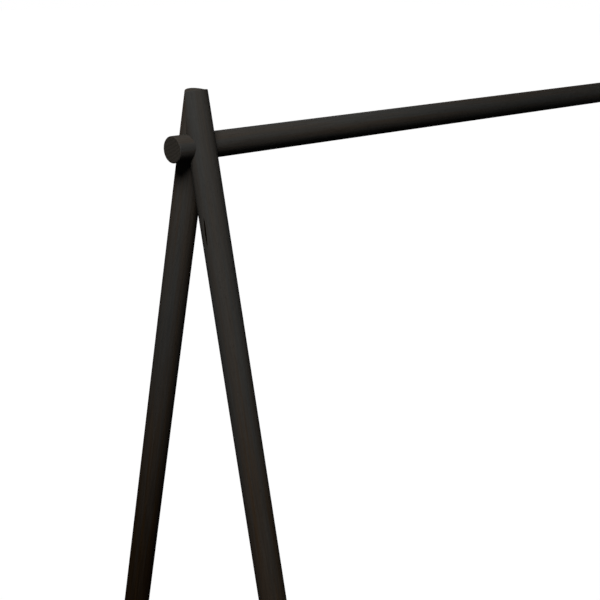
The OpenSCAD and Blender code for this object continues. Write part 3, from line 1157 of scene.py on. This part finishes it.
class RACK_OT_make_glides(bpy.types.Operator):
    """Model the moulded glide under each leg"""

    bl_idname = "rack.make_glides"
    bl_label = "Make glides"

    def execute(self, context):
        scene = context.scene
        fittings = []
        for leg in LEGS:
            node = leg.replace("_leg", "_glide")
            place = middle(node)
            place.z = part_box(node)[0].z
            name = leg.replace("_leg", "_moulded_glide")
            fittings.append((name, node, [Matrix.Translation(place)]))
        glide = model_glide(scene.rack_glides)
        fit_copies(glide, moulded_nylon(scene.rack_finishes), fittings)
        return {"FINISHED"}


class RACK_OT_make_glide_nails(bpy.types.Operator):
    """Model the ring-shanked nails that hold the glides"""

    bl_idname = "rack.make_glide_nails"
    bl_label = "Make glide nails"

    def execute(self, context):
        scene = context.scene
        low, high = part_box("glide_nails")
        places = []
        for leg in LEGS:
            place = middle(leg.replace("_leg", "_glide"))
            place.z = 0
            places.append(Matrix.Translation(place))
        nail = model_nail(scene.rack_glides, low.z, high.z)
        fittings = [("ring_shanked_nails", "glide_nails", places)]
        fit_copies(nail, zinc_plate(scene.rack_finishes), fittings)
        return {"FINISHED"}


def background_rays(shader):
    """1 for rays that see the background: straight, mirrored or through glass."""
    rays = [shader.node("ShaderNodeLightPath", output=f"Is {kind} Ray") for kind in (
        "Camera", "Glossy", "Transmission")]
    return rays[0].at_least(rays[1]).at_least(rays[2])


def floor_material(stage):
    """Pale floor that keeps shadows and, where it is lit, is white in view."""
    # In view, the light that falls on it gives only the share that a shadow can take away, and a
    # glow gives the rest
    shader = new_material("pale_floor")
    seen = background_rays(shader)
    white = stage.floor_shadow / (stage.sky_power / math.pi + stage.fill_level)
    colour = stage.floor_bounce + seen * (white - stage.floor_bounce)
    diffuse = shader.node("ShaderNodeBsdfDiffuse", {}, {"Color": colour})
    lift = seen * (stage.floor_level - stage.floor_shadow)
    glow = shader.node("ShaderNodeEmission", {}, {"Color": (1, 1, 1, 1), "Strength": lift})
    return shader.output(shader.node("ShaderNodeAddShader", {}, {0: diffuse, 1: glow}))


class RACK_OT_set_stage(bpy.types.Operator):
    """Set up the floor, the lamps, the room's light and the camera"""

    bl_idname = "rack.set_stage"
    bl_label = "Set stage"

    def execute(self, context):
        stage = context.scene.rack_stage
        self.add_lamps(stage, self.add_floor(stage))
        self.light_room(context, stage)
        self.add_camera(context, stage)
        context.scene.view_settings.view_transform = "Standard"
        return {"FINISHED"}

    def add_floor(self, stage):
        deselect_all()
        bpy.ops.mesh.primitive_plane_add(size=stage.floor_width)
        floor = start_piece("floor")
        floor.data.materials.append(floor_material(stage))
        return floor

    def add_soft_box(self, stage, name, place, aim, power, spread=math.pi):
        turn = (Vector(aim) - Vector(place)).to_track_quat("-Z", "Y").to_euler()
        bpy.ops.object.light_add(type="AREA", location=place, rotation=turn)
        lamp = bpy.context.object
        lamp.name = name
        lamp.data.shape = "DISK"
        lamp.data.size = stage.box_width
        lamp.data.energy = power
        lamp.data.spread = spread
        lamp.light_linking.receiver_collection = self.unlit_floor

    def add_lamps(self, stage, floor):
        """Soft boxes that light the rack alone, and the even light that also lights the floor."""
        # A lamp that has this collection for its receivers lights all but what it excludes
        self.unlit_floor = bpy.data.collections.new("unlit_floor")
        self.unlit_floor.objects.link(floor)
        self.unlit_floor.collection_objects[0].light_linking.link_state = "EXCLUDE"
        left = middle("left_front_leg").x
        right = middle("right_front_leg").x
        self.add_soft_box(
            stage, "key_light", stage.key_place, (left, 0, rail_height), stage.key_power)
        sides = {
            "right_front_light": (stage.right_front_place, right, stage.right_power),
            "right_back_light": (stage.right_back_place, right, stage.right_power),
            "left_back_light": (stage.left_back_place, left, stage.left_back_power),
        }
        for name, (place, frame_place, power) in sides.items():
            aim = (frame_place, 0, stage.side_aim * rail_height)
            self.add_soft_box(stage, name, place, aim, power, stage.side_spread)
        bpy.ops.object.light_add(type="SUN")
        sky = bpy.context.object
        sky.name = "overhead_light"
        sky.data.angle = stage.sky_spread
        sky.data.energy = stage.sky_power

    def light_room(self, context, stage):
        """Room that gives the wood its fill light and shows as white in view."""
        shader = Shader(bpy.data.worlds.new("room"))
        level = stage.fill_level + background_rays(shader) * (1 - stage.fill_level)
        light = shader.node("ShaderNodeBackground", {}, {"Color": (1, 1, 1, 1), "Strength": level})
        context.scene.world = shader.output(light, "World")

    def add_camera(self, context, stage):
        turn = Matrix.Rotation(-stage.camera_heading, 4, "Z")
        turn = turn @ Matrix.Rotation(QUARTER_TURN - stage.camera_drop, 4, "X")
        turn = turn @ Matrix.Rotation(stage.camera_roll, 4, "Z")
        bpy.ops.object.camera_add(location=stage.camera_place, rotation=turn.to_euler())
        camera = bpy.context.object
        camera.name = "camera"
        camera.data.sensor_width = stage.sensor_width
        camera.data.lens = stage.focal_length
        camera.data.clip_end = VIEW_DEPTH
        context.scene.camera = camera


STEPS = (
    RACK_OT_finish_woodwork, RACK_OT_make_rail_bolts, RACK_OT_make_shoe_rail_bolts,
    RACK_OT_make_barrel_nuts, RACK_OT_make_rail_inserts, RACK_OT_make_head_dowels,
    RACK_OT_make_glides, RACK_OT_make_glide_nails, RACK_OT_set_stage,
)


class RACK_PT_workshop(bpy.types.Panel):
    """Sidebar panel with every step of making the rack"""

    bl_idname = "RACK_PT_workshop"
    bl_label = "Clothes rack"
    bl_space_type = "VIEW_3D"
    bl_region_type = "UI"
    bl_category = "Rack"

    def draw(self, context):
        for step in STEPS:
            self.layout.operator(step.bl_idname)


SETTINGS = {
    "rack_wood": StainedWood,
    "rack_finishes": Finishes,
    "rack_bolts": Bolts,
    "rack_nuts": NutsAndInserts,
    "rack_dowels": Dowels,
    "rack_glides": GlidesAndNails,
    "rack_stage": Stage,
}


def register():
    for name, group in SETTINGS.items():
        bpy.utils.register_class(group)
        setattr(bpy.types.Scene, name, PointerProperty(type=group))
    for kind in (*STEPS, RACK_PT_workshop):
        bpy.utils.register_class(kind)


def unregister():
    for kind in (RACK_PT_workshop, *reversed(STEPS)):
        bpy.utils.unregister_class(kind)
    for name, group in reversed(SETTINGS.items()):
        delattr(bpy.types.Scene, name)
        bpy.utils.unregister_class(group)


def main():
    """Makes the whole rack."""
    register()
    for step in STEPS:
        group, name = step.bl_idname.split(".")
        getattr(getattr(bpy.ops, group), name)()


if __name__ == "__main__":
    main()
